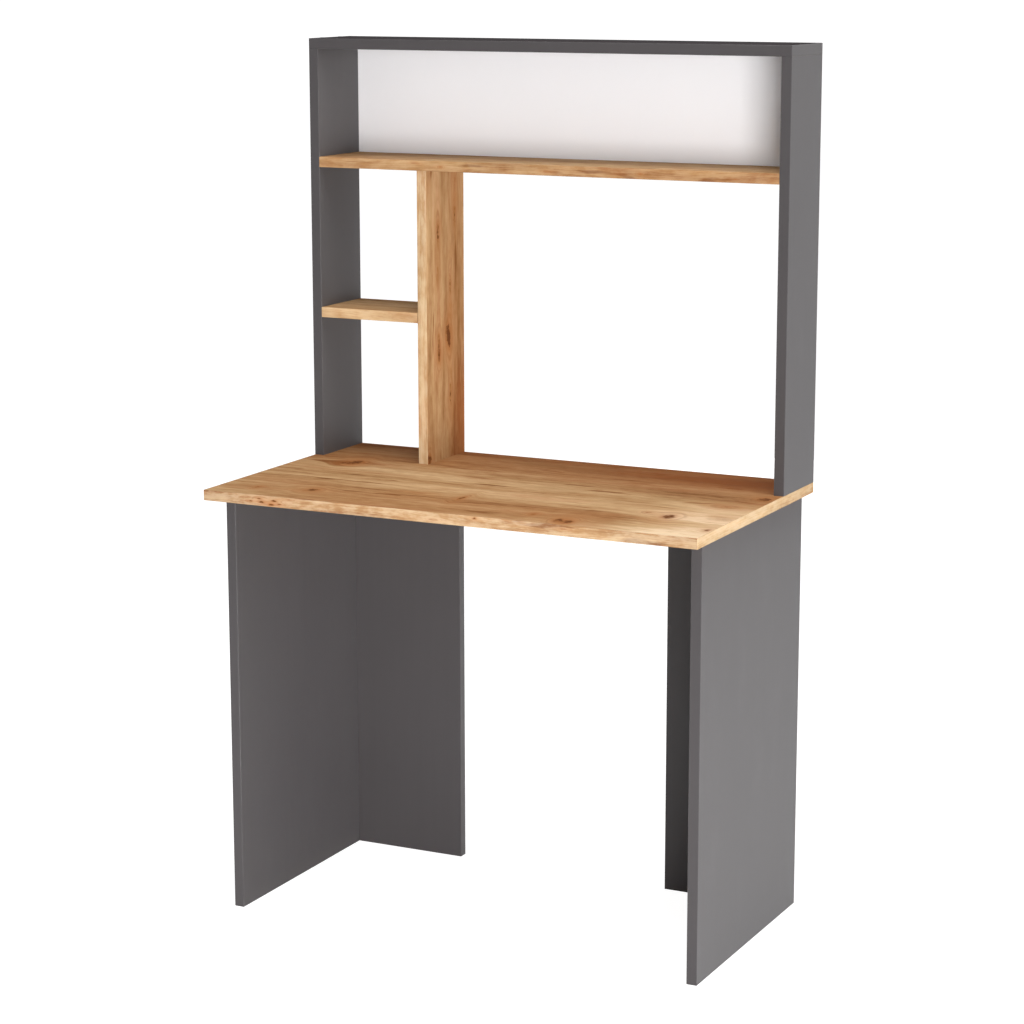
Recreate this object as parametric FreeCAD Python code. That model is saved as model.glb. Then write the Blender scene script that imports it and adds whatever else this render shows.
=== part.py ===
import FreeCAD, Part
import math
import os
from FreeCAD import Placement, Rotation, Vector

# Student desk with a hutch: flat-pack construction in coated chipboard.
# Millimetres, +Z up, the front faces -Y and left is -X. The origin is on the floor, at the middle
# of the footprint. Each sub-part is written to parts/NAME.step.

os.makedirs("parts", exist_ok=True)

# ------------------------------------------------------------------ desk
desk_width = 900.0  # left end to right end of the desktop
desk_depth = 515.0  # front edge to rear edge of the desktop
desktop_height = 750.0  # floor to the upper face of the desktop
leg_end_inset = 13.0  # desktop end to the outer face of a leg
leg_front_inset = 50.0  # desktop front edge to the front edge of a leg
leg_rear_inset = 20.0  # desktop rear edge to the rear edge of a leg
brace_width = 215.0  # inner face of a leg to the free edge of its rear brace
brace_recess = 15.0  # rear edge of a leg to the rear face of its brace

# ------------------------------------------------------------------ hutch
hutch_height = 740.0  # upper face of the desktop to the top of the hutch
hutch_depth = 143.0  # front edges to rear edges of the hutch boards
top_bay_height = 188.0  # clear height over the long shelf
cubby_width = 194.0  # clear width between the left side and the divider
lower_cubby_height = 250.0  # clear height under the small shelf
shelf_play = 0.5  # gap at each end of the small shelf, which lies loose on its pins

# ------------------------------------------------------------------ board stock
board = 18.0  # thickness of every chipboard panel
band = 1.0  # thickness of the edge bands
band_bevel = 0.6  # bevel along the outer edges of a band
back_board = 3.0  # thickness of the hardboard back
back_inset = 2.0  # edge of the back to the outer faces of the boards that it is nailed to

# ------------------------------------------------------------------ cam locks and their bolts
cam_diameter = 15.0
cam_bore_depth = 13.5
cam_setback = 0.3  # face of a cam below the face of its board
cam_play = 0.1  # gap round a cam in its bore
cam_distance = 24.0  # joint to the middle of the cam
driver_slot = 1.6  # width of the cross for the screwdriver
driver_span = 8.0
driver_depth = 3.0
bolt_diameter = 5.0
bolt_bore = 8.0  # bore from the end of a board to its cam
bolt_head = 7.0
bolt_head_length = 5.0
bolt_head_play = 0.4  # gap round the head inside the cam
bolt_thread = 10.5  # length screwed into the other board

# ------------------------------------------------------------------ dowels
dowel_diameter = 8.0
dowel_in_face = 12.0
dowel_in_end = 23.0
dowel_groove = 0.5  # depth of the glue grooves
dowel_relief = 0.5  # room for glue past each end

# ------------------------------------------------------------------ one-piece connector screws
screw_length = 50.0
screw_shank = 7.0
screw_core = 5.0  # thread core, the size of its pilot hole
screw_head = 10.0
screw_head_height = 3.0
screw_tip = 3.0  # length of the tapered tip
socket_across_flats = 4.0
socket_depth = 2.5
cap_diameter = 13.0  # stick-on caps over the heads in the hutch top
cap_thickness = 0.4

# ------------------------------------------------------------------ shelf pins and brads
pin_diameter = 5.0
pin_in_board = 8.0
pin_reach = 8.0  # length that carries the shelf
brad_width = 1.2
brad_length = 16.0
brad_spacing = 170.0  # at most this far apart along the top and the shelf
brad_margin = 30.0  # first and last brad to the ends of the back

# ------------------------------------------------------------------ where the joints are
leg_front_dowel = 37.0  # from the front edge of a leg
leg_front_cam = 133.0
leg_rear_cam = 88.0  # from the rear edge of a leg
leg_rear_dowel = 56.0
brace_lower_cam = 96.0  # from the floor
brace_upper_cam = 64.0  # from the top of the brace
brace_outer_dowel = 50.0  # from the leg
brace_inner_dowel = 50.0  # from the free edge of the brace
hutch_front_row = 37.0  # from the front edges of the hutch boards
hutch_rear_row = 42.0  # from their rear edges

# ------------------------------------------------------------------ planes that the sizes give
left = -desk_width / 2
right = desk_width / 2
front = -(desk_depth + back_board) / 2
rear = front + desk_depth
underside = desktop_height - board
hutch_front = rear - hutch_depth
hutch_top_face = desktop_height + hutch_height
top_underside = hutch_top_face - board
shelf_face = top_underside - top_bay_height
shelf_underside = shelf_face - board
divider_left = left + board + cubby_width
divider_right = divider_left + board
small_shelf_underside = desktop_height + lower_cubby_height
leg_front = front + leg_front_inset
leg_rear = rear - leg_rear_inset
brace_rear = leg_rear - brace_recess
front_row = hutch_front + hutch_front_row
rear_row = rear - hutch_rear_row

TOUCHING = 1e-6
FLAT_COUNT = 12
UP = Vector(0, 0, 1)
RIGHT = Vector(1, 0, 0)
REARWARD = Vector(0, 1, 0)
SIDES = {
    "left": -RIGHT,
    "right": RIGHT,
    "front": -REARWARD,
    "rear": REARWARD,
}


def box_between(low, high):
    """The box with these opposite corners."""
    size = high - low
    return Part.makeBox(size.x, size.y, size.z, low)


def round_plug(diameter, length, start, direction):
    """A round plug or bore that begins at start."""
    return Part.makeCylinder(diameter / 2, length, start, direction)


def ring(radii, distance=0):
    """A closed outline round the Z axis at this height, with its corners at these radii in turn."""
    turn = 2 * math.pi / len(radii)
    corners = [
        Vector(radius * math.cos(turn * index), radius * math.sin(turn * index), distance)
        for index, radius in enumerate(radii)
    ]
    return Part.makePolygon(corners + corners[:1])


def turned(profile, start, direction):
    """A slim fitting or its bore: profile lists (distance from start, radius) along its length.

    It has FLAT_COUNT sides in place of a round, which keeps the many small fittings light.
    """
    rings = [(distance, ring([radius] * FLAT_COUNT, distance)) for distance, radius in profile]
    lengths = [
        Part.makeLoft([low_ring, high_ring], True, True)
        for (low, low_ring), (high, high_ring) in zip(rings, rings[1:])
        if high > low
    ]
    piece = lengths[0].multiFuse(lengths[1:]).Solids[0] if lengths[1:] else lengths[0]
    piece.Placement = Placement(start, Rotation(UP, direction))
    return piece


def slim_bar(diameter, length, start, direction):
    """A slim bar or bore of one diameter that begins at start."""
    return turned([(0, diameter / 2), (length, diameter / 2)], start, direction)


def fluted_dowel(start, direction):
    """A wooden dowel with a groove along each flat, for the glue."""
    radii = [dowel_diameter / 2, dowel_diameter / 2 - dowel_groove] * FLAT_COUNT
    dowel = Part.Face(ring(radii)).extrude(UP * (dowel_in_face + dowel_in_end))
    dowel.Placement = Placement(start, Rotation(UP, direction))
    return dowel


class Board:
    """A rectangular chipboard panel with bands glued along its finished edges.

    low and high are the corners of the finished board, bands included. edged names the sides
    that carry a band. Bands on the front and rear run the whole length, over the ends of those
    on the left and right.
    """

    def __init__(self, low, high, edged):
        self.edged = edged
        core_low, core_high = Vector(low), Vector(high)
        for side in edged:
            outward = SIDES[side]
            if outward.x + outward.y < 0:
                core_low -= outward * band
            else:
                core_high -= outward * band
        self.low, self.high = low, high
        self.core_low, self.core_high = core_low, core_high
        self.core = box_between(core_low, core_high)
        self.bands = Part.makeCompound([self.band_on(side) for side in edged]) if edged else None
        self.holes = []

    def band_on(self, side):
        """The band glued to one side, with a fine bevel on its open edges."""
        outward = SIDES[side]
        low, high = Vector(self.low), Vector(self.high)
        if side in ("left", "right"):
            low.y, high.y = self.core_low.y, self.core_high.y
            low.x, high.x = (low.x, self.core_low.x) if side == "left" else (self.core_high.x, high.x)
        else:
            low.y, high.y = (low.y, self.core_low.y) if side == "front" else (self.core_high.y, high.y)
        piece = box_between(low, high)
        return piece.makeChamfer(band_bevel, self.open_edges(piece, outward))

    def open_edges(self, piece, outward):
        """Edges round the outer face of a band, less those at ends that meet something."""
        size = self.high - self.low
        across = min((RIGHT, REARWARD, UP), key=size.dot)
        outer = max(vertex.Point.dot(outward) for vertex in piece.Vertexes)
        ends_open = outward.y != 0 and "left" in self.edged
        found = []
        for edge in piece.Edges:
            start, end = (vertex.Point for vertex in edge.Vertexes)
            on_outer_face = min(start.dot(outward), end.dot(outward)) > outer - TOUCHING
            at_end = abs((end - start).dot(across)) > TOUCHING
            if on_outer_face and (ends_open or not at_end):
                found.append(edge)
        return found

    def drill(self, *holes):
        self.holes += holes

    def drilled_core(self):
        return self.core.cut(self.holes) if self.holes else self.core

    def drilled_bands(self):
        crossing = [hole for hole in self.holes if hole.distToShape(self.bands)[0] < TOUCHING]
        return self.bands.cut(crossing) if crossing else self.bands


# ------------------------------------------------------------------ boards
leg_edges = ("front", "rear")
all_edges = ("front", "rear", "left", "right")


def desk_leg(outer, inner):
    low_x, high_x = sorted((outer, inner))
    return Board(Vector(low_x, leg_front, 0), Vector(high_x, leg_rear, underside), leg_edges)


def rear_brace(at_leg, free_edge, edged):
    low_x, high_x = sorted((at_leg, free_edge))
    return Board(Vector(low_x, brace_rear - board, 0), Vector(high_x, brace_rear, underside), edged)


def hutch_board(low_x, high_x, low_z, high_z, edged=("front", "rear")):
    return Board(Vector(low_x, hutch_front, low_z), Vector(high_x, rear, high_z), edged)


left_leg_inner = left + leg_end_inset + board
right_leg_inner = right - leg_end_inset - board

boards = {
    "desktop": Board(Vector(left, front, underside), Vector(right, rear, desktop_height), all_edges),
    "left_leg": desk_leg(left + leg_end_inset, left_leg_inner),
    "right_leg": desk_leg(right - leg_end_inset, right_leg_inner),
    "left_rear_brace": rear_brace(left_leg_inner, left_leg_inner + brace_width, ("right",)),
    "right_rear_brace": rear_brace(right_leg_inner, right_leg_inner - brace_width, ("left",)),
    "hutch_left_side": hutch_board(left, left + board, desktop_height, top_underside),
    "hutch_right_side": hutch_board(right - board, right, desktop_height, top_underside),
    "hutch_top": hutch_board(left, right, top_underside, hutch_top_face, all_edges),
    "hutch_shelf": hutch_board(left + board, right - board, shelf_underside, shelf_face),
    "hutch_divider": hutch_board(divider_left, divider_right, desktop_height, shelf_underside),
    "hutch_small_shelf": hutch_board(
        left + board + shelf_play,
        divider_left - shelf_play,
        small_shelf_underside,
        small_shelf_underside + board,
    ),
    "hutch_back": Board(
        Vector(left + back_inset, rear, shelf_underside + back_inset),
        Vector(right - back_inset, rear + back_board, hutch_top_face - back_inset),
        (),
    ),
}

fittings = {
    "cam_locks": [],
    "cam_bolts": [],
    "wooden_dowels": [],
    "connector_screws": [],
    "screw_caps": [],
    "shelf_pins": [],
    "back_brads": [],
}


# ------------------------------------------------------------------ fittings
def cam_lock(mouth, face, inward):
    """A cam housing: a plug with a cross for the screwdriver and a pocket that grips a bolt head.

    mouth is the middle of the bore at the face of the board, face is the normal there, and
    inward is the direction in which the bolt comes in.
    """
    top = mouth - face * cam_setback
    height = cam_bore_depth - cam_setback
    plug = round_plug(cam_diameter - 2 * cam_play, height, top, -face)
    turn = Rotation(UP, face)
    cross = [
        Part.makeBox(length, width, driver_depth, Vector(-length / 2, -width / 2, -driver_depth))
        for length, width in ((driver_span, driver_slot), (driver_slot, driver_span))
    ]
    for slot in cross:
        slot.Placement = Placement(top, turn)
    across = face.cross(inward)
    half_pocket = bolt_head / 2 + bolt_head_play
    axis_middle = mouth - face * (board / 2)
    corner_a = axis_middle - inward * cam_diameter - across * half_pocket + face * half_pocket
    corner_b = axis_middle + inward * (bolt_head_length / 2 + bolt_head_play)
    corner_b += across * half_pocket - face * cam_bore_depth
    pocket = FreeCAD.BoundBox(corner_a, corner_a)
    pocket.add(corner_b)
    opening = box_between(
        Vector(pocket.XMin, pocket.YMin, pocket.ZMin), Vector(pocket.XMax, pocket.YMax, pocket.ZMax)
    )
    return plug.cut(cross + [opening])


def cam_bolt(seat, inward):
    """A connecting bolt: thread, shank and the head that the cam pulls on."""
    head_start = cam_distance - bolt_head_length / 2
    profile = [
        (-bolt_thread, bolt_diameter / 2),
        (head_start, bolt_diameter / 2),
        (head_start, bolt_head / 2),
        (head_start + bolt_head_length, bolt_head / 2),
    ]
    return turned(profile, seat, inward)


def connector_screw(head, drive):
    """A one-piece connector screw with a countersunk head and a hexagon socket."""
    profile = [
        (0, screw_head / 2),
        (screw_head_height, screw_shank / 2),
        (board, screw_shank / 2),
        (board, screw_core / 2),
        (screw_length - screw_tip, screw_core / 2),
        (screw_length, screw_core / 4),
    ]
    socket = Part.Face(ring([socket_across_flats / math.sqrt(3)] * 6)).extrude(UP * socket_depth)
    socket.Placement = Placement(head, Rotation(UP, drive))
    return turned(profile, head, drive).cut(socket)


# ------------------------------------------------------------------ joints between boards
def join_with_cam(holder, other, seat, inward, face):
    """Pull the end of holder against other.

    seat is where the bolt crosses the joint, at the middle of the holder's thickness. inward
    points from there into holder, and face is the side of holder that the cam is set into.
    """
    mouth = seat + inward * cam_distance + face * (board / 2)
    boards[holder].drill(
        round_plug(cam_diameter, cam_bore_depth, mouth, -face),
        slim_bar(bolt_bore, cam_distance, seat, inward),
    )
    boards[other].drill(slim_bar(bolt_diameter, bolt_thread + dowel_relief, seat, -inward))
    fittings["cam_locks"].append(cam_lock(mouth, face, inward))
    fittings["cam_bolts"].append(cam_bolt(seat, inward))


def join_with_dowel(holder, other, seat, inward):
    """Set a dowel in the end of holder and the face of other."""
    boards[holder].drill(slim_bar(dowel_diameter, dowel_in_end + dowel_relief, seat, inward))
    boards[other].drill(slim_bar(dowel_diameter, dowel_in_face + dowel_relief, seat, -inward))
    fittings["wooden_dowels"].append(fluted_dowel(seat - inward * dowel_in_face, inward))


def join_with_screw(outer, other, head, drive):
    """Screw through outer into the end of other."""
    sink = [(0, screw_head / 2), (screw_head_height, screw_shank / 2), (board, screw_shank / 2)]
    pilot_depth = screw_length - board + dowel_relief
    boards[outer].drill(turned(sink, head, drive))
    boards[other].drill(slim_bar(screw_core, pilot_depth, head + drive * board, drive))
    fittings["connector_screws"].append(connector_screw(head, drive))


def carry_on_pins(carrier, wall_x, into_bay):
    """Two pins in the face of carrier, with the small shelf lying on their free ends."""
    for row in (front_row, rear_row):
        middle = Vector(wall_x, row, small_shelf_underside - pin_diameter / 2)
        boards[carrier].drill(slim_bar(pin_diameter, pin_in_board, middle, -into_bay))
        fittings["shelf_pins"].append(
            slim_bar(pin_diameter, pin_in_board + pin_reach, middle - into_bay * pin_in_board, into_bay)
        )


def nail_back_to(carrier, x, z):
    """A brad driven flush through the back into the rear edge of carrier."""
    half = brad_width / 2
    brad = box_between(
        Vector(x - half, rear + back_board - brad_length, z - half),
        Vector(x + half, rear + back_board, z + half),
    )
    boards["hutch_back"].drill(brad)
    boards[carrier].drill(brad)
    fittings["back_brads"].append(brad)


# Each leg hangs on two cams and two dowels under the desktop, and its brace stands against its
# inner face on two more cams, set into the rear of the brace.
for side, into_desk, leg_inner in (("left", RIGHT, left_leg_inner), ("right", -RIGHT, right_leg_inner)):
    leg, brace = side + "_leg", side + "_rear_brace"
    leg_top = Vector(leg_inner, 0, underside) - into_desk * (board / 2)
    for y in (leg_front + leg_front_cam, leg_rear - leg_rear_cam):
        join_with_cam(leg, "desktop", leg_top + REARWARD * y, -UP, into_desk)
    for y in (leg_front + leg_front_dowel, leg_rear - leg_rear_dowel):
        join_with_dowel(leg, "desktop", leg_top + REARWARD * y, -UP)
    brace_edge = Vector(leg_inner, brace_rear - board / 2, 0)
    for z in (brace_lower_cam, underside - brace_upper_cam):
        join_with_cam(brace, leg, brace_edge + UP * z, into_desk, REARWARD)
    for reach in (brace_outer_dowel, brace_width - brace_inner_dowel):
        join_with_dowel(brace, "desktop", brace_edge + into_desk * reach + UP * underside, -UP)

# The hutch sides are screwed on from under the desktop, far enough out for the screw heads to
# clear the legs, and the hutch top is screwed down on them from above.
side_screw_line = min(board / 2, leg_end_inset - screw_head / 2)
for side, end, inward in (("left", left, RIGHT), ("right", right, -RIGHT)):
    hutch_side = "hutch_" + side + "_side"
    for row in (front_row, rear_row):
        below = Vector(end, row, underside) + inward * side_screw_line
        above = Vector(end, row, hutch_top_face) + inward * (board / 2)
        join_with_screw("desktop", hutch_side, below, UP)
        join_with_screw("hutch_top", hutch_side, above, -UP)
        fittings["screw_caps"].append(round_plug(cap_diameter, cap_thickness, above, UP))

# The long shelf hangs between the sides, with its cams out of sight in its underside.
shelf_middle = shelf_underside + board / 2
for side, end, inward in (("left", left + board, RIGHT), ("right", right - board, -RIGHT)):
    hutch_side = "hutch_" + side + "_side"
    join_with_cam("hutch_shelf", hutch_side, Vector(end, rear_row, shelf_middle), inward, -UP)
    join_with_dowel("hutch_shelf", hutch_side, Vector(end, front_row, shelf_middle), inward)

# The divider is pulled up to the long shelf by a cam in its left face, and screwed on from
# under the desktop.
divider_middle = divider_left + board / 2
join_with_cam("hutch_divider", "hutch_shelf", Vector(divider_middle, rear_row, shelf_underside), -UP, -RIGHT)
join_with_dowel("hutch_divider", "hutch_shelf", Vector(divider_middle, front_row, shelf_underside), -UP)
join_with_dowel("hutch_divider", "desktop", Vector(divider_middle, front_row, desktop_height), UP)
divider_screw_row = (front_row + rear_row) / 2
join_with_screw("desktop", "hutch_divider", Vector(divider_middle, divider_screw_row, underside), UP)

carry_on_pins("hutch_left_side", left + board, RIGHT)
carry_on_pins("hutch_divider", divider_left, -RIGHT)

# Brads hold the back to the top, the shelf and both sides.
nailed_length = desk_width - 2 * back_inset - 2 * brad_margin
gaps = math.ceil(nailed_length / brad_spacing)
for index in range(gaps + 1):
    x = left + back_inset + brad_margin + nailed_length * index / gaps
    nail_back_to("hutch_top", x, hutch_top_face - board / 2)
    nail_back_to("hutch_shelf", x, shelf_underside + board / 2)
bay_middle = shelf_face + top_bay_height / 2
nail_back_to("hutch_left_side", left + board / 2, bay_middle)
nail_back_to("hutch_right_side", right - board / 2, bay_middle)

# ------------------------------------------------------------------ one file for each sub-part
for name, panel in boards.items():
    panel.drilled_core().exportStep("parts/" + name + ".step")
    if panel.bands:
        panel.drilled_bands().exportStep("parts/" + name + "_edge_bands.step")

for name, pieces in fittings.items():
    Part.makeCompound(pieces).exportStep("parts/" + name + ".step")
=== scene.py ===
import math

import bmesh
import bpy
from mathutils import Matrix, Vector


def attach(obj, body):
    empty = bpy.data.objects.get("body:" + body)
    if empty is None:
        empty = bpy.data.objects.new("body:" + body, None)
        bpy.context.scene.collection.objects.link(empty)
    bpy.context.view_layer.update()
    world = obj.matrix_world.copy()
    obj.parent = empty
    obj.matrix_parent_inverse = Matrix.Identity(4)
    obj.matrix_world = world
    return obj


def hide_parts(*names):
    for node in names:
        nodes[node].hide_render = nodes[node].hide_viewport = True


# Student desk with a hutch: the finish of every board, and its fittings in full detail.
# Metres, +Z up, the front faces -Y and left is -X. The frame gives every size and place.

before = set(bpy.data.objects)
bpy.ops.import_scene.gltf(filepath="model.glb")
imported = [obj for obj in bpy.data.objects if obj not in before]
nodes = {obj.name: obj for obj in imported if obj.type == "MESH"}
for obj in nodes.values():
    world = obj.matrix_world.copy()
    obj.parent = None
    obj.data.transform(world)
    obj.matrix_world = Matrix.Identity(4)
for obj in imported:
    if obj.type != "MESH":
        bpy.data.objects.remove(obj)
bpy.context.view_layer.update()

X, Y, Z = 0, 1, 2
MM = 0.001


def tone(red, green, blue):
    return (red, green, blue, 1.0)


# ------------------------------------------------------------------ shader maths
class Field:
    """A value that varies over a surface. Arithmetic on it adds Math nodes."""

    def __init__(self, tree, socket):
        self.tree = tree
        self.socket = socket

    def __add__(self, other):
        return self.tree.math("ADD", self, other)

    __radd__ = __add__

    def __sub__(self, other):
        return self.tree.math("SUBTRACT", self, other)

    def __rsub__(self, other):
        return self.tree.math("SUBTRACT", other, self)

    def __mul__(self, other):
        return self.tree.math("MULTIPLY", self, other)

    __rmul__ = __mul__

    def __truediv__(self, other):
        return self.tree.math("DIVIDE", self, other)

    def __rtruediv__(self, other):
        return self.tree.math("DIVIDE", other, self)

    def __abs__(self):
        return self.tree.math("ABSOLUTE", self)


class Tree:
    """The nodes of a material or of the world, and the ways in which they are made."""

    def __init__(self, node_tree):
        self.node_tree = node_tree
        self.node_tree.nodes.clear()

    def node(self, kind, settings=None, sockets=None, output=0):
        """Add a node of this type, with its settings made before its sockets are filled."""
        node = self.node_tree.nodes.new(kind)
        for name, setting in (settings or {}).items():
            if name == "stops":
                self.set_stops(node.color_ramp, setting)
            else:
                setattr(node, name, setting)
        for name, filling in (sockets or {}).items():
            if isinstance(filling, Field):
                self.node_tree.links.new(filling.socket, node.inputs[name])
            else:
                node.inputs[name].default_value = filling
        return Field(self, node.outputs[output]) if node.outputs else None

    def set_stops(self, ramp, stops):
        """Give a ramp its stops, each a position and a colour. A new ramp has two already."""
        while len(ramp.elements) < len(stops):
            ramp.elements.new(1.0)
        for element, (position, colour) in zip(ramp.elements, stops):
            element.position = position
            element.color = colour

    def math(self, operation, *values):
        return self.node("ShaderNodeMath", {"operation": operation}, dict(enumerate(values)))

    def vector_math(self, operation, *values, output=0):
        return self.node("ShaderNodeVectorMath", {"operation": operation}, dict(enumerate(values)), output)

    def part(self, vector, axis):
        """One of the three parts of a vector or of a colour."""
        return self.node("ShaderNodeSeparateXYZ", None, {0: vector}, axis)

    def split(self, vector):
        return [self.part(vector, axis) for axis in (X, Y, Z)]

    def join(self, x, y, z):
        return self.node("ShaderNodeCombineXYZ", None, {0: x, 1: y, 2: z})

    def stretched(self, vector, scale, shift=(0, 0, 0)):
        """vector with its parts scaled and shifted. A single number scales all three."""
        scales = scale if isinstance(scale, tuple) else (scale, scale, scale)
        return self.vector_math("MULTIPLY_ADD", vector, scales, shift)

    def noise(self, vector, scale, detail=2.0, roughness=0.5, shift=(0, 0, 0)):
        """Smooth noise from 0 to 1, with about scale bumps in each metre of vector."""
        sockets = {
            "Vector": self.stretched(vector, scale, shift),
            "Scale": 1.0,
            "Detail": detail,
            "Roughness": roughness,
        }
        return self.node("ShaderNodeTexNoise", {"noise_dimensions": "3D"}, sockets)

    def step(self, value, low, high, at_low=0.0, at_high=1.0):
        """A smooth change from at_low to at_high while value goes from low to high."""
        settings = {"interpolation_type": "SMOOTHSTEP"}
        return self.node("ShaderNodeMapRange", settings, {0: value, 1: low, 2: high, 3: at_low, 4: at_high})

    def fade(self, squared, fall):
        """1 in the middle and less further out, where squared is the distance squared."""
        return self.math("EXPONENT", squared * -fall)

    def between(self, mask, first, second):
        """The first value where mask is 0, and the second where it is 1."""
        return mask * (second - first) + first

    def mix(self, factor, first, second):
        """The first colour where factor is 0, and the second where it is 1."""
        return self.node("ShaderNodeMix", {"data_type": "RGBA"}, {0: factor, 6: first, 7: second}, 2)

    def ramp(self, value, stops):
        return self.node("ShaderNodeValToRGB", {"stops": stops}, {0: value})


class Finish(Tree):
    """A material whose patterns are fixed to their places on the desk."""

    def __init__(self, name):
        self.material = bpy.data.materials.new(name)
        self.material.use_nodes = True
        super().__init__(self.material.node_tree)
        self.place = self.node("ShaderNodeTexCoord", output="Object")
        self.facing = self.node("ShaderNodeTexCoord", output="Normal")

    def coat(self, colour, roughness, height, relief, strength=0.5, metallic=0.0, specular=0.5, sheen=0.0):
        """The finished material. Its surface rises by relief where height goes from 0 to 1."""
        bumps = {"Height": height, "Distance": relief, "Strength": strength}
        sockets = {
            "Base Color": colour,
            "Roughness": roughness,
            "Metallic": metallic,
            "Specular IOR Level": specular,
            "Sheen Weight": sheen,
            "Sheen Roughness": 0.4,
            "Normal": self.node("ShaderNodeBump", None, bumps),
        }
        surface = self.node("ShaderNodeBsdfPrincipled", None, sockets)
        self.node("ShaderNodeOutputMaterial", None, {"Surface": surface})
        return self.material


# ------------------------------------------------------------------ chipboard under the films
CHIP_LIGHT = tone(0.52, 0.36, 0.20)
CHIP_DARK = tone(0.27, 0.16, 0.08)
CHIPS = 420  # in a metre
CHIP_GRIT = 1800
CHIP_ROUGHNESS = 0.85


def chipboard(finish):
    """Colour and height of pressed wood chips, which show where a board has no film or band."""
    chips = finish.stretched(finish.place, CHIPS)
    bend = {"Vector": chips, "Scale": 0.7}
    bent = finish.node("ShaderNodeTexNoise", {"noise_dimensions": "3D"}, bend, "Color")
    cells = {"Vector": finish.vector_math("ADD", chips, bent), "Scale": 1.0}
    shade = finish.part(finish.node("ShaderNodeTexVoronoi", None, cells, "Color"), 0)
    grit = finish.noise(finish.place, CHIP_GRIT)
    colour = finish.mix(shade * 0.75 + grit * 0.25, CHIP_DARK, CHIP_LIGHT)
    return colour, shade * 0.6 + grit * 0.4


def film_on_chipboard(finish, through, colour, roughness, height):
    """The film on the two faces of a board, and bare chips on its edges and in its holes.

    through is the axis that goes through the board from face to face.
    """
    chips, chip_height = chipboard(finish)
    film = finish.step(abs(finish.part(finish.facing, through)), 0.5, 0.7)
    colour = finish.mix(film, chips, colour)
    roughness = finish.between(film, CHIP_ROUGHNESS, roughness)
    return colour, roughness, finish.between(film, chip_height, height)


# ------------------------------------------------------------------ knotty oak film
OAK_CREAM = tone(0.80, 0.60, 0.39)
OAK_PALE = tone(0.67, 0.465, 0.275)
OAK_TAN = tone(0.525, 0.335, 0.170)
OAK_BROWN = tone(0.37, 0.198, 0.084)
OAK_DEEP = tone(0.20, 0.075, 0.024)
OAK_TONES = [(0.0, OAK_DEEP), (0.30, OAK_BROWN), (0.60, OAK_TAN), (0.85, OAK_PALE), (1.0, OAK_CREAM)]
OAK_RED = tone(0.38, 0.140, 0.055)
OAK_OLIVE = tone(0.33, 0.205, 0.085)
BAND_CREAM = tone(0.60, 0.480, 0.325)
# red-brown of heartwood, which on the desktop also serves as painted shade
HEARTWOOD_AND_SHADE_TONE = tone(0.36, 0.105, 0.026)
KNOT_HALO = tone(0.42, 0.160, 0.050)
KNOT_BROWN = tone(0.250, 0.076, 0.018)
KNOT_DARK = tone(0.100, 0.034, 0.010)

# How a film lies: the axis along its grain, the axis across it and the axis into the board
FLAT_BOARD = (X, Y, Z)
UPRIGHT_BOARD = (Z, Y, X)
EDGE_ALONG_X = (X, Z, Y)
EDGE_ALONG_Y = (Y, Z, X)
UPRIGHT_EDGE = (Z, X, Y)

# How many there are in a metre along the grain, across it and into the board
SLOW_SWAY = (2.1, 6.5, 5)
QUICK_SWAY = (8.5, 28, 20)
BROAD_BANDS = (1.6, 17, 8)
STREAKS = (5.5, 60, 24)
HAIRS = (16, 520, 60)
MOTTLE = (34, 85, 60)
SPINDLES = (9, 66, 24)
PORES = (60, 1500, 60)
BLUSHES = (4.5, 26, 9)
CRACKS = (90, 900, 60)
RIBS = (28, 760, 60)
RAGGED_PLACED = (120, 300, 0)
RAGGED_WILD = (120, 330, 40)

KNOT_FALL = 0.8  # how fast the dark core of a knot fades outwards
KNOT_RINGS = 9.0
OAK_GLOSS = 0.05
OAK_RELIEF = 0.12 * MM
OAK_RELIEF_STRENGTH = 0.6


def placed_knots(finish, grain, knots):
    """Knots at given places: their cores, the stain round them, and their push on the grain."""
    ragged = (finish.noise(grain, RAGGED_PLACED, 3.0) - 0.5) * 3.0
    marks = (0, 0, 0)
    for along, across, half_length, half_width, darkness in knots:
        scale = (1 / half_length, 1 / half_width, 0)
        shift = (-along / half_length, -across / half_width, 0)
        reach = finish.stretched(grain, scale, shift)
        squared = finish.vector_math("DOT_PRODUCT", reach, reach, output="Value")
        around = finish.fade(squared, 0.17)
        core = finish.fade(squared + ragged, KNOT_FALL) * darkness
        halo = around * (darkness * 0.6 + 0.4)
        push = finish.part(reach, 1) * around * half_width
        marks = finish.vector_math("ADD", marks, finish.join(core, halo, push))
    return finish.split(marks)


def wild_knots(finish, own):
    """One knot of its own size and place in each cell of the film, many too small to see."""
    cell_length, cell_width, layers = 0.34, 0.115, 9.0
    cells = finish.stretched(own, (1 / cell_length, 1 / cell_width, layers))
    settings = {"voronoi_dimensions": "3D", "feature": "F1"}
    sockets = {"Vector": cells, "Scale": 1.0, "Randomness": 0.9}
    distance = finish.node("ShaderNodeTexVoronoi", settings, sockets, "Distance")
    colour = finish.node("ShaderNodeTexVoronoi", settings, sockets, "Color")
    centre = finish.node("ShaderNodeTexVoronoi", settings, sockets, "Position")
    size = finish.step(finish.part(colour, 0), 0.45, 1.0, 0.012, 0.085)
    share = distance / size
    squared = share * share
    ragged = (finish.noise(own, RAGGED_WILD, 3.0) - 0.5) * 1.6
    core = finish.fade(squared + ragged, KNOT_FALL)
    around = finish.fade(squared, 0.13)
    aside = finish.part(finish.vector_math("SUBTRACT", cells, centre), 1)
    return core, around, aside * around * (cell_width * 0.7)


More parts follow.
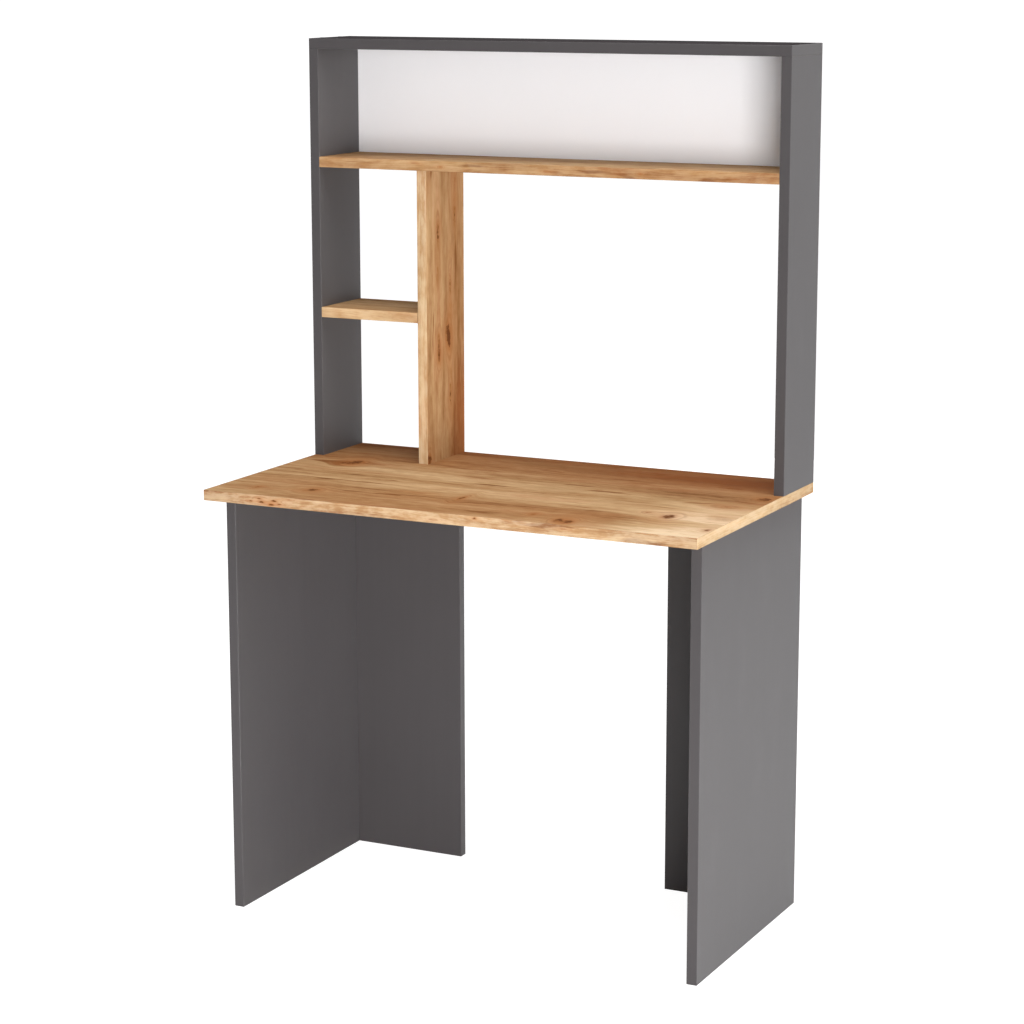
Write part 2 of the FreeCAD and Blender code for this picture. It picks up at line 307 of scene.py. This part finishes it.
def bent_grain(finish, own, push):
    """Places along the grain, which sways and gives way to the knots."""
    slow = finish.noise(own, SLOW_SWAY, 1.0) - 0.5
    quick = finish.noise(own, QUICK_SWAY, 2.0, shift=(3, 5, 7)) - 0.5
    u, v, w = finish.split(own)
    return finish.join(u, v - push * 0.85 + slow * 0.035 + quick * 0.0075, w)


def show_knots(finish, colour, core, halo, grain, streaks, hairs, mottle):
    """The film with its knots: a stained halo, broken rings, and a brown core with cracks."""
    colour = finish.mix(halo * (0.05 + streaks * 0.7), colour, KNOT_HALO)
    rings = finish.step(finish.math("SINE", finish.math("LOGARITHM", halo, math.e) * KNOT_RINGS), 0.0, 1.0)
    broken = finish.step(halo, 0.1, 0.6) * finish.step(mottle, 0.4, 0.6)
    colour = finish.mix(rings * broken * 0.3, colour, OAK_DEEP)
    colour = finish.mix(finish.step(core, 0.06, 1.15) * (0.62 + hairs * 0.60), colour, KNOT_BROWN)
    cracks = finish.noise(grain, CRACKS, 2.0, shift=(1, 1, 1))
    cracked = finish.step(core * (cracks + 0.4), 0.55, 0.75)
    return finish.mix(cracked * 0.8, colour, KNOT_DARK)


def oak(finish, lie, shift, knots=(), paleness=0.5, stain_and_shade=None, cream=0.0):
    """Colour, roughness and height of an oak film.

    lie is how the film lies, and shift picks the part of the pattern that a board gets. paleness
    lifts or lowers the whole film, stain_and_shade is where heartwood darkens it, and on the desktop
    also painted shade and painted light, and cream is how strong its creamy patches are.
    """
    parts = finish.split(finish.place)
    grain = finish.join(*[parts[axis] for axis in lie])
    own = finish.stretched(grain, 1, shift)
    core, halo, push = wild_knots(finish, own)
    if knots:
        placed_core, placed_halo, placed_push = placed_knots(finish, grain, knots)
        core = finish.math("MAXIMUM", core, placed_core)
        halo = finish.math("MAXIMUM", halo, placed_halo)
        push = push + placed_push
    flow = bent_grain(finish, own, push)

    broad = finish.noise(flow, BROAD_BANDS, 1.0)
    streaks = finish.noise(flow, STREAKS, 4.0, 0.62)
    hairs = finish.noise(flow, HAIRS, 3.0, 0.6)
    mottle = finish.noise(flow, MOTTLE, 3.0, 0.6, (2, 8, 4))
    spindles = finish.noise(flow, SPINDLES, 2.0, 0.55, (5, 1, 9))
    pores = finish.step(finish.noise(flow, PORES, 1.0), 0.58, 0.74)
    shade = (broad - 0.5) * 0.80 + (streaks - 0.5) * 0.85 + (hairs - 0.5) * 0.32 + (mottle - 0.5) * 0.42
    shade = shade + paleness - pores * 0.10 - finish.step(spindles, 0.60, 0.76) * 0.42
    # the stain darkens the film where there is heartwood; on the desktop it also paints shade and light
    if stain_and_shade:
        shade = shade - stain_and_shade * (0.20 + streaks * 0.34)
    colour = finish.ramp(shade, OAK_TONES)

    blush = finish.noise(flow, BLUSHES, 3.0, 0.6, (7, 3, 1))
    colour = finish.mix(finish.step(blush, 0.52, 0.72) * 0.30, colour, OAK_RED)
    colour = finish.mix(finish.step(blush, 0.46, 0.30) * 0.22, colour, OAK_OLIVE)
    if cream:
        patches = finish.step(mottle * 0.6 + hairs * 0.4, 0.40, 0.60, cream * 0.3, cream * 1.7)
        colour = finish.mix(patches, colour, BAND_CREAM)
    if stain_and_shade:
        colour = finish.mix(stain_and_shade * (0.15 + streaks * 0.8), colour, HEARTWOOD_AND_SHADE_TONE)
    colour = show_knots(finish, colour, core, halo, grain, streaks, hairs, mottle)

    roughness = 0.66 + (streaks - 0.5) * 0.12 + pores * 0.10 + core * 0.06
    return colour, roughness, finish.noise(own, RIBS, 3.0, 0.6)


def oak_coat(finish, colour, roughness, height):
    return finish.coat(colour, roughness, height, OAK_RELIEF, OAK_RELIEF_STRENGTH, specular=OAK_GLOSS)


def oak_board(name, lie, shift, knots=(), paleness=0.46, heartwood_and_shade=None):
    """An oak board: film on its two faces, bare chips on its edges and in its holes."""
    finish = Finish(name)
    # heartwood on the divider; heartwood with painted shade and painted light on the desktop
    stain_and_shade = heartwood_and_shade(finish) if heartwood_and_shade else None
    film = oak(finish, lie, shift, knots, paleness, stain_and_shade)
    return oak_coat(finish, *film_on_chipboard(finish, lie[2], *film))


def oak_band(name, lie, shift, knots=(), paleness=0.56, cream=0.28):
    """A band printed like the oak film, creamier, with its grain along the edge that it covers."""
    finish = Finish(name)
    return oak_coat(finish, *oak(finish, lie, shift, knots, paleness, cream=cream))


def oak_bands_round(name, shift, knots, paleness, end_paleness, cream):
    """Bands on all four edges: the grain runs along X in front and behind, along Y at the ends."""
    finish = Finish(name)
    long_edge = oak(finish, EDGE_ALONG_X, shift, knots, paleness, cream=cream)
    end = oak(finish, EDGE_ALONG_Y, shift, (), end_paleness, cream=cream)
    at_end = finish.step(abs(finish.part(finish.facing, X)), 0.4, 0.6)
    colour = finish.mix(at_end, long_edge[0], end[0])
    roughness = finish.between(at_end, long_edge[1], end[1])
    height = finish.between(at_end, long_edge[2], end[2])
    return oak_coat(finish, colour, roughness, height)


# ------------------------------------------------------------------ anthracite film
GREY_DEEP = tone(0.0405, 0.0360, 0.0374)
GREY_PALE = tone(0.0570, 0.0508, 0.0528)
GREY_SHEEN = 0.30
GREY_CLOUDS = 5  # in a metre
DRAW_LINES = (75, 75, 2.2)
SPECKS = 700
PEARLS = 1600
HANDLING_MARKS = (9, 9, 4)
FILM_RELIEF = 0.06 * MM
STRIP_RELIEF = 0.05 * MM


def anthracite(finish):
    """Colour, roughness and height of a matt dark grey film with a fine pearl texture.

    The film is drawn over the board from top to bottom, which leaves faint upright streaks.
    """
    cloud = finish.noise(finish.place, GREY_CLOUDS, 3.0)
    drawn = finish.noise(finish.place, DRAW_LINES, 3.0)
    speck = finish.noise(finish.place, SPECKS)
    colour = finish.mix(cloud * 0.4 + drawn * 0.3 + speck * 0.3, GREY_DEEP, GREY_PALE)
    handling = finish.step(finish.noise(finish.place, HANDLING_MARKS, 4.0, 0.6), 0.45, 0.75)
    roughness = 0.50 + (speck - 0.5) * 0.12 - handling * 0.05
    return colour, roughness, finish.noise(finish.place, PEARLS)


def anthracite_board(name, through, specular=0.5, sheen=GREY_SHEEN):
    """An anthracite board: film on its two faces, bare chips on its edges and in its holes."""
    finish = Finish(name)
    film = film_on_chipboard(finish, through, *anthracite(finish))
    return finish.coat(*film, FILM_RELIEF, specular=specular, sheen=sheen)


def anthracite_strip(name, smoother, specular=0.5, sheen=GREY_SHEEN):
    """The same film on thin plastic, which is a little smoother than a board."""
    finish = Finish(name)
    colour, roughness, height = anthracite(finish)
    roughness = roughness - smoother
    return finish.coat(colour, roughness, height, STRIP_RELIEF, 0.4, specular=specular, sheen=sheen)


# ------------------------------------------------------------------ hardboard back
PAINT_WHITE = tone(0.905, 0.890, 0.905)
PAINT_GREY = tone(0.83, 0.815, 0.830)
PAINT_ROUGHNESS = 0.47
PAINT_PEEL = 380  # in a metre
BACK_CLOUDS = 14
FIBRE_PALE = tone(0.40, 0.25, 0.14)
FIBRE_DARK = tone(0.20, 0.11, 0.055)
FIBRE_ROUGHNESS = 0.82
FIBRES = 260
FLAKES = 420
SCREEN_TURNS = 2600  # radians in a metre: the press screen has a wire every 2.4 mm
BACK_RELIEF = 0.12 * MM


def hardboard_back():
    """White paint on the front, brown pressed fibre with the mark of the press screen behind."""
    finish = Finish("hardboard_painted_white")
    painted = finish.step(finish.part(finish.facing, Y), -0.5, -0.7)
    cloud = finish.noise(finish.place, BACK_CLOUDS, 3.0)
    white = finish.mix(cloud * 0.12, PAINT_WHITE, PAINT_GREY)
    peel = finish.noise(finish.place, PAINT_PEEL)
    fibre = finish.noise(finish.place, FIBRES, 4.0, 0.65)
    flakes = finish.step(finish.noise(finish.place, FLAKES, shift=(5, 2, 7)), 0.62, 0.72)
    brown = finish.mix(fibre * 0.55 + cloud * 0.45 - flakes * 0.35, FIBRE_DARK, FIBRE_PALE)
    wires = finish.stretched(finish.place, SCREEN_TURNS)
    upright = finish.math("SINE", finish.part(wires, X))
    level = finish.math("SINE", finish.part(wires, Z))
    screen = upright * level * 0.5 + 0.5
    colour = finish.mix(painted, brown, white)
    roughness = finish.between(painted, FIBRE_ROUGHNESS, PAINT_ROUGHNESS)
    return finish.coat(colour, roughness, finish.between(painted, screen, peel), BACK_RELIEF)


# ------------------------------------------------------------------ metal and beech
ZINC_BRIGHT = tone(0.62, 0.62, 0.61)
ZINC_DULL = tone(0.42, 0.42, 0.43)
STEEL_BRIGHT = tone(0.72, 0.72, 0.73)
STEEL_DULL = tone(0.52, 0.52, 0.54)
METAL_CLOUDS = 300  # in a metre
SCRATCHES = (900, 5200, 900)
SCRATCH_RELIEF = 0.02 * MM
BEECH_PALE = tone(0.66, 0.45, 0.27)
BEECH_DARK = tone(0.44, 0.27, 0.14)
FLECKS = (900, 900, 160)
FLECK_RELIEF = 0.08 * MM


def metal(name, bright, dull, roughness):
    """Plated or cast metal: a soft cloudy finish with fine scratches."""
    finish = Finish(name)
    cloud = finish.noise(finish.place, METAL_CLOUDS, 3.0)
    scratch = finish.noise(finish.place, SCRATCHES)
    colour = finish.mix(cloud, dull, bright)
    varied = roughness + (cloud - 0.5) * 0.15 + (scratch - 0.5) * 0.1
    return finish.coat(colour, varied, scratch, SCRATCH_RELIEF, 0.4, metallic=1.0)


def beech():
    """Bare turned beech with short fine flecks."""
    finish = Finish("beech_bare")
    flecks = finish.noise(finish.place, FLECKS, 3.0)
    colour = finish.mix(flecks, BEECH_DARK, BEECH_PALE)
    return finish.coat(colour, 0.6 + (flecks - 0.5) * 0.2, flecks, FLECK_RELIEF)


# ------------------------------------------------------------------ knots that stand out
# Each is its place along and across the grain, its half length, its half width and how dark it is.
DESKTOP_KNOTS = [
    (-0.344, 0.077, 0.012, 0.020, 1.00),
    (-0.362, 0.060, 0.012, 0.010, 0.70),
    (-0.284, -0.180, 0.013, 0.013, 0.90),
    (-0.381, -0.199, 0.004, 0.008, 0.80),
    (-0.111, -0.124, 0.018, 0.007, 0.45),
    (-0.025, -0.132, 0.005, 0.018, 0.85),
    (0.139, -0.200, 0.005, 0.008, 0.75),
    (0.196, -0.226, 0.009, 0.014, 0.85),
    (0.216, -0.232, 0.009, 0.015, 0.95),
    (0.343, -0.124, 0.012, 0.019, 1.00),
    (0.300, -0.106, 0.008, 0.007, 0.60),
    (0.440, -0.196, 0.006, 0.010, 0.85),
    (0.396, -0.010, 0.020, 0.012, 0.55),
    (0.426, -0.108, 0.020, 0.014, 0.40),
    (0.432, 0.074, 0.013, 0.015, 1.00),
]
DESKTOP_BAND_KNOTS = [
    (-0.358, 0.7390, 0.0065, 0.0014, 0.75),
    (-0.341, 0.7445, 0.0060, 0.0013, 0.80),
    (-0.335, 0.7385, 0.0060, 0.0018, 1.05),
    (-0.317, 0.7357, 0.0060, 0.0016, 1.15),
    (-0.312, 0.7425, 0.0065, 0.0017, 1.00),
    (-0.301, 0.7375, 0.0070, 0.0012, 0.75),
    (-0.283, 0.7465, 0.0080, 0.0013, 0.70),
    (-0.012, 0.7380, 0.0070, 0.0014, 0.50),
    (0.062, 0.7465, 0.0040, 0.0020, 0.70),
    (0.221, 0.7440, 0.0090, 0.0013, 0.50),
]
DIVIDER_KNOTS = [
    (1.154, 0.157, 0.024, 0.0060, 0.80),
    (1.182, 0.220, 0.026, 0.0060, 0.60),
    (1.240, 0.222, 0.020, 0.0060, 0.45),
    (1.062, 0.202, 0.036, 0.0055, 0.60),
    (1.081, 0.154, 0.020, 0.0045, 0.45),
    (0.976, 0.192, 0.018, 0.0075, 1.00),
    (0.960, 0.198, 0.015, 0.0055, 0.80),
    (0.962, 0.159, 0.020, 0.0050, 0.60),
    (0.938, 0.159, 0.012, 0.0055, 0.80),
    (0.866, 0.201, 0.036, 0.0055, 0.60),
    (0.757, 0.121, 0.012, 0.0080, 0.95),
]
SHELF_BAND_KNOTS = [
    (-0.241, 1.2790, 0.0070, 0.0012, 0.5),
    (-0.192, 1.2740, 0.0040, 0.0016, 0.6),
    (0.013, 1.2730, 0.0060, 0.0012, 0.5),
    (0.185, 1.2750, 0.0040, 0.0016, 0.6),
    (0.355, 1.2720, 0.0070, 0.0012, 0.5),
]


# ------------------------------------------------------------------ a finish for every node
def divider_heartwood(finish):
    """The divider film turns red-brown towards its rear edge and its foot."""
    rear = finish.step(finish.part(finish.place, Y), 0.185, 0.250)
    foot = finish.step(finish.part(finish.place, Z), 0.98, 0.80, 0.25, 1.0)
    return rear * foot * 0.8


def desktop_heartwood_and_painted_light(finish):
    """The film is darkest along the rear, partly painted shade under the hutch, browner in the middle of
    the front, partly a painted shadow, and palest front right, partly painted light.
    """
    x = finish.part(finish.place, X)
    y = finish.part(finish.place, Y)
    # painted shade along the rear and in the middle of the front, and painted light at the front right
    # corner, over the film's own tone
    rear = finish.step(y, 0.02, 0.20) * finish.step(x, -0.10, 0.40, 0.50, 1.1)
    middle = finish.step(x, -0.38, -0.12) * finish.step(x, 0.40, 0.26) * finish.step(y, -0.08, -0.18)
    pale_corner = finish.step(x, 0.25, 0.42) * finish.step(y, 0.03, -0.12)
    return rear + middle * 0.28 - pale_corner * 1.25


finishes = {
    "desktop": oak_board(
        "oak_film_desktop",
        FLAT_BOARD,
        shift=(3.1, 1.7, 0.4),
        knots=DESKTOP_KNOTS,
        paleness=0.43,
        heartwood_and_shade=desktop_heartwood_and_painted_light,
    ),
    "desktop_edge_bands": oak_bands_round(
        "oak_bands_desktop",
        shift=(5.3, 2.2, 0.9),
        knots=DESKTOP_BAND_KNOTS,
        paleness=0.27,
        end_paleness=0.56,
        cream=0.28,
    ),
    "hutch_divider": oak_board(
        "oak_film_divider",
        UPRIGHT_BOARD,
        shift=(8.4, 4.1, 2.0),
        knots=DIVIDER_KNOTS,
        paleness=0.41,
        heartwood_and_shade=divider_heartwood,
    ),
    "hutch_divider_edge_bands": oak_band("oak_bands_divider", UPRIGHT_EDGE, shift=(6.6, 3.0, 1.1)),
    # the shelf film and its front band are darker than the other oak films, partly as painted shade
    "hutch_shelf": oak_board("oak_film_shelf", FLAT_BOARD, shift=(11.2, 6.3, 1.3), paleness=0.36),
    "hutch_shelf_edge_bands": oak_band(
        "oak_bands_shelf",
        EDGE_ALONG_X,
        shift=(9.1, 5.2, 2.1),
        knots=SHELF_BAND_KNOTS,
        paleness=0.24,
        cream=0.08,
    ),
    "hutch_small_shelf": oak_board("oak_film_small_shelf", FLAT_BOARD, shift=(14.7, 8.6, 3.2)),
    "hutch_small_shelf_edge_bands": oak_band(
        "oak_bands_small_shelf",
        EDGE_ALONG_X,
        shift=(13.4, 7.5, 0.7),
        paleness=0.41,
        cream=0.15,
    ),
    "hutch_back": hardboard_back(),
    "cam_locks": metal("zinc_cast", ZINC_BRIGHT, ZINC_DULL, roughness=0.42),
    "wooden_dowels": beech(),
    "screw_caps": anthracite_strip("cap_film_anthracite", smoother=0.06, specular=0.0, sheen=0.0),
    "hutch_top": anthracite_board("anthracite_film_top", Z, specular=0.0, sheen=0.0),
}
upright_board = anthracite_board("anthracite_film_upright", X)
for node in ("left_leg", "right_leg", "hutch_left_side", "hutch_right_side"):
    finishes[node] = upright_board
brace_board = anthracite_board("anthracite_film_brace", Y)
for node in ("left_rear_brace", "right_rear_brace"):
    finishes[node] = brace_board
plated_steel = metal("steel_zinc_plated", STEEL_BRIGHT, STEEL_DULL, roughness=0.30)
for node in ("cam_bolts", "connector_screws", "shelf_pins", "back_brads"):
    finishes[node] = plated_steel
grey_bands = anthracite_strip("anthracite_bands", smoother=0.04)
for node, piece in nodes.items():
    finishes.setdefault(node, grey_bands)
    piece.data.materials.clear()
    piece.data.materials.append(finishes[node])


# ------------------------------------------------------------------ fittings in full detail
SEAM = 0.001 * MM  # points nearer than this are one point
FLAT_TURN = math.radians(0.5)  # triangles that turn less than this are one flat face
SHARP_TURN = math.radians(30)  # corners that turn more than this are eased
SOFT_TURN = math.radians(20)  # faces that turn less than this are shaded as one round face
ROUND_STEPS = 24
THREAD_STEPS = 16


def merged_copy(node):
    """The solids of a CAD node with their triangles joined up and their flat faces made whole."""
    shape = bmesh.new()
    shape.from_mesh(nodes[node].data)
    bmesh.ops.remove_doubles(shape, verts=shape.verts, dist=SEAM)
    bmesh.ops.dissolve_limit(shape, angle_limit=FLAT_TURN, verts=shape.verts, edges=shape.edges)
    return shape


def stand_in(shape, node):
    """Make shape the piece that is shown in the place of a CAD node."""
    bmesh.ops.recalc_face_normals(shape, faces=shape.faces)
    mesh = bpy.data.meshes.new(node + "_detailed")
    shape.to_mesh(mesh)
    shape.free()
    mesh.shade_smooth()
    mesh.set_sharp_from_angle(angle=SOFT_TURN)
    mesh.materials.append(finishes[node])
    piece = bpy.data.objects.new(node + "_detailed", mesh)
    bpy.context.scene.collection.objects.link(piece)
    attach(piece, "root")
    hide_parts(node)


def ease_corners(shape, width):
    """Round over every sharp corner."""
    sharp = [edge for edge in shape.edges if edge.is_manifold and edge.calc_face_angle() > SHARP_TURN]
    bmesh.ops.bevel(
        shape,
        geom=sharp,
        offset=width,
        offset_type="OFFSET",
        affect="EDGES",
        segments=2,
        profile=0.5,
        material=-1,
        clamp_overlap=True,
    )


def solids_of(node):
    """The corner points of each solid in a CAD node."""
    shape = merged_copy(node)
    unreached = set(shape.verts)
    solids = []
    for first in shape.verts:
        if first in unreached:
            unreached.remove(first)
            reached = [first]
            for point in reached:
                fresh = [edge.other_vert(point) for edge in point.link_edges]
                fresh = [other for other in fresh if other in unreached]
                unreached.difference_update(fresh)
                reached.extend(fresh)
            solids.append([point.co.copy() for point in reached])
    shape.free()
    return solids


def head_and_way_out(points):
    """The middle of a screw's outer end, and the direction from its point to its head."""
    low = Vector([min(point[axis] for point in points) for axis in (X, Y, Z)])
    high = Vector([max(point[axis] for point in points) for axis in (X, Y, Z)])
    size = high - low
    along = max((X, Y, Z), key=lambda axis: size[axis])
    side = (along + 1) % 3
    middle = (low + high) / 2
    widest = max(points, key=lambda point: point[side])
    way_out = Vector([0, 0, 0])
    way_out[along] = 1 if widest[along] > middle[along] else -1
    return middle + way_out * (size[along] / 2), way_out


def turned(profile):
    """A body turned about Z from (radius, height) points in millimetres, from its head down."""
    shape = bmesh.new()
    points = [shape.verts.new((radius * MM, 0, height * MM)) for radius, height in profile]
    edges = [shape.edges.new(pair) for pair in zip(points, points[1:])]
    bmesh.ops.spin(
        shape,
        geom=points + edges,
        cent=(0, 0, 0),
        axis=(0, 0, 1),
        angle=math.tau,
        steps=ROUND_STEPS,
        use_merge=True,
    )
    bmesh.ops.remove_doubles(shape, verts=shape.verts, dist=SEAM)
    return shape


def wind_thread(shape, core, crest, pitch, top, bottom):
    """Wind a thread round the core between two heights, all in millimetres."""
    foot = core - 0.15  # the ridge starts a little inside the core
    half_width = pitch * 0.30
    ridge = [(foot, -half_width), (crest, 0), (foot, half_width)]
    start = bottom + pitch / 2
    turns = (top - bottom - pitch) / pitch
    points = [shape.verts.new((radius * MM, 0, (start + rise) * MM)) for radius, rise in ridge]
    edges = [shape.edges.new((points[corner - 1], points[corner])) for corner in range(3)]
    bmesh.ops.spin(
        shape,
        geom=points + edges,
        cent=(0, 0, 0),
        axis=(0, 0, 1),
        dvec=(0, 0, pitch * MM / THREAD_STEPS),
        angle=math.tau * turns,
        steps=round(THREAD_STEPS * turns),
    )
    ends = [edge for edge in shape.edges if edge.is_boundary]
    bmesh.ops.holes_fill(shape, edges=ends, sides=3)


def sink_hexagon(shape, across_flats, depth):
    """Close the open head of shape with a face that has a hexagon socket in it."""
    rim = [edge for edge in shape.edges if edge.is_boundary]
    bmesh.ops.create_circle(shape, segments=6, radius=across_flats * MM / math.sqrt(3))
    mouth = [edge for edge in shape.edges if edge.is_wire]
    bmesh.ops.bridge_loops(shape, edges=rim + mouth)
    walls = bmesh.ops.extrude_edge_only(shape, edges=mouth)["geom"]
    foot = [part for part in walls if isinstance(part, bmesh.types.BMVert)]
    bmesh.ops.translate(shape, verts=foot, vec=(0, 0, -depth * MM))
    bmesh.ops.holes_fill(shape, edges=[edge for edge in shape.edges if edge.is_boundary], sides=6)


def settle_order(shape):
    """Put edges and faces in the order of their points, because a merging spin mixes them up."""
    shape.verts.index_update()
    for parts in (shape.edges, shape.faces):
        by_points = sorted(parts, key=lambda part: sorted(point.index for point in part.verts))
        rank = {part: place for place, part in enumerate(by_points)}
        parts.sort(key=rank.get)


def one_at_each(shape, node):
    """A copy of shape, whose head is at the origin and faces up, for each screw of a CAD node."""
    pattern = bpy.data.meshes.new("pattern")
    bmesh.ops.recalc_face_normals(shape, faces=shape.faces)
    settle_order(shape)
    shape.to_mesh(pattern)
    shape.free()
    group = bmesh.new()
    for points in solids_of(node):
        head, way_out = head_and_way_out(points)
        before = len(group.verts)
        group.from_mesh(pattern)
        group.verts.ensure_lookup_table()
        place = Matrix.Translation(head) @ way_out.to_track_quat("Z", "Y").to_matrix().to_4x4()
        bmesh.ops.transform(group, matrix=place, verts=group.verts[before:])
    bpy.data.meshes.remove(pattern)
    return group


def connector_screw():
    """A countersunk one-piece connector screw with a coarse thread and a hexagon socket."""
    core, crest, shank = 2.4, 3.4, 3.5
    thread_end = -46.5
    head = [(4.7, 0), (5, -0.3), (shank, -3)]
    body = [(shank, -17.4), (core, -18), (core, thread_end)]
    tip = [(1.2, -49.7), (0, -49.9)]
    shape = turned(head + body + tip)
    sink_hexagon(shape, across_flats=4, depth=2.5)
    wind_thread(shape, core, crest, pitch=3, top=-18.5, bottom=thread_end)
    return shape


def cam_bolt():
    """A cam bolt with a wood thread, a collar at the joint, and a neck under its rounded head."""
    core, crest, neck, collar = 1.9, 2.5, 1.7, 2.5
    joint = -27
    head = [(0, 0), (2.6, 0), (3.3, -0.3), (3.5, -1), (3.5, -4), (3.2, -5)]
    shank = [(neck, -5.4), (neck, -8), (collar, -9), (collar, joint + 0.5)]
    screwed = [(core, joint), (core, -35.6), (0.9, -36.9), (0, -37)]
    shape = turned(head + shank + screwed)
    wind_thread(shape, core, crest, pitch=2, top=joint, bottom=-36.2)
    return shape


# Fittings that keep their CAD shape: the slot of each, and how far its corners are eased in mm
for node, slot, width in (
    ("cam_locks", "zinc", 0.25),
    ("wooden_dowels", "beech", 0.35),
    ("shelf_pins", "steel", 0.45),
    ("screw_caps", "cap_plastic", 0.15),
):
    eased = merged_copy(node)
    ease_corners(eased, width * MM)
    stand_in(eased, node)

# Fittings that are made anew, where the CAD gives only their places and directions
for node, screw in (("connector_screws", connector_screw()), ("cam_bolts", cam_bolt())):
    stand_in(one_at_each(screw, node), node)


# ------------------------------------------------------------------ studio
WHITE = tone(1.0, 1.0, 1.0)
FLOOR_REACH = 30.0
FLOOR_BRIGHT = tone(0.87, 0.87, 0.87)
FLOOR_DIM = tone(0.84, 0.84, 0.845)
FLOOR_CLOUDS = 0.8  # in a metre
FLOOR_GLOW = 1.45  # how bright the floor is by itself, for the camera only
FLOOR_GLOW_SHARE = 0.65
BACKDROP_GLOW = 1.1
FRONT_RIGHT = (0.55, -0.82, 0.15)
LENS = 97.49  # in mm, as is the sensor
SENSOR_WIDTH = 36.0
EYE = (2.0503, -4.1405, 1.6425)
TURN_LEFT, TILT_DOWN, ROLL = 0.4594, 0.2003, 0.0011  # in radians


def pale_floor():
    """A pale seamless floor, wide enough to fill every view."""
    sheet = bmesh.new()
    bmesh.ops.create_grid(sheet, x_segments=2, y_segments=2, size=FLOOR_REACH)
    mesh = bpy.data.meshes.new("studio_floor")
    sheet.to_mesh(mesh)
    sheet.free()
    floor = bpy.data.objects.new("studio_floor", mesh)
    bpy.context.scene.collection.objects.link(floor)
    finish = Finish("floor_pale")
    colour = finish.mix(finish.noise(finish.place, FLOOR_CLOUDS), FLOOR_DIM, FLOOR_BRIGHT)
    lit = finish.node("ShaderNodeBsdfDiffuse", None, {"Color": colour})
    glow = finish.node("ShaderNodeEmission", None, {"Color": WHITE, "Strength": FLOOR_GLOW})
    seen = finish.node("ShaderNodeLightPath", output="Is Camera Ray")
    surface = finish.node("ShaderNodeMixShader", None, {0: seen * FLOOR_GLOW_SHARE, 1: lit, 2: glow})
    finish.node("ShaderNodeOutputMaterial", None, {"Surface": surface})
    mesh.materials.append(finish.material)


def white_world(in_front, behind):
    """White light from all round, stronger from the front right, and a white backdrop.

    The camera sees the backdrop wherever it looks past the floor.
    """
    world = bpy.data.worlds.new("studio_white")
    world.use_nodes = True
    sky = Tree(world.node_tree)
    direction = sky.node("ShaderNodeTexCoord", output="Generated")
    frontness = sky.vector_math("DOT_PRODUCT", direction, FRONT_RIGHT, output="Value")
    strength = sky.step(frontness, -0.6, 0.8, behind, in_front)
    light = sky.node("ShaderNodeBackground", None, {"Color": WHITE, "Strength": strength})
    backdrop = sky.node("ShaderNodeBackground", None, {"Color": WHITE, "Strength": BACKDROP_GLOW})
    seen = sky.node("ShaderNodeLightPath", output="Is Camera Ray")
    surface = sky.node("ShaderNodeMixShader", None, {0: seen, 1: light, 2: backdrop})
    sky.node("ShaderNodeOutputWorld", None, {"Surface": surface})
    bpy.context.scene.world = world


def softbox(name, place, target, size, power, spread=180.0):
    """A square lamp, which no camera sees, that throws its light within spread degrees."""
    light = bpy.data.lights.new(name, "AREA")
    light.shape = "SQUARE"
    light.size = size
    light.energy = power
    light.spread = math.radians(spread)
    lamp = bpy.data.objects.new(name, light)
    lamp.location = place
    lamp.rotation_euler = (Vector(target) - Vector(place)).to_track_quat("-Z", "Y").to_euler()
    lamp.visible_camera = False
    bpy.context.scene.collection.objects.link(lamp)


def camera():
    """A long lens from the front right, at about the eye height of someone who stands."""
    lens = bpy.data.cameras.new("camera")
    lens.sensor_width = SENSOR_WIDTH
    lens.lens = LENS
    lens.clip_end = 200.0
    viewer = bpy.data.objects.new("camera", lens)
    viewer.location = EYE
    aim = Matrix.Rotation(TURN_LEFT, 4, "Z") @ Matrix.Rotation(math.pi / 2 - TILT_DOWN, 4, "X")
    viewer.rotation_euler = (aim @ Matrix.Rotation(-ROLL, 4, "Z")).to_euler()
    bpy.context.scene.collection.objects.link(viewer)
    bpy.context.scene.camera = viewer


pale_floor()
white_world(in_front=0.52, behind=0.2)
softbox("key_right", (3.6, -5.0, 0.9), (0.0, 0.0, 0.7), size=2.1, power=314.0)
softbox("side_right", (5.2, 0.3, 0.8), (0.0, 0.0, 0.7), size=2.4, power=95.0)
softbox("top_soft", (0.7, -0.6, 4.2), (0.0, -0.1, 0.8), size=2.4, power=105.0)
softbox("low_fill", (1.3, -1.9, 0.3), (-0.42, 0.1, 0.25), size=0.7, power=2.5, spread=40.0)
softbox("left_fill", (-4.3, 0.2, 1.1), (0.0, 0.0, 0.7), size=2.2, power=75.0)
softbox("rear_fill", (-0.7, 4.4, 0.35), (0.0, 0.2, 0.7), size=1.5, power=30.0)
camera()
bpy.context.scene.view_settings.view_transform = "Standard"
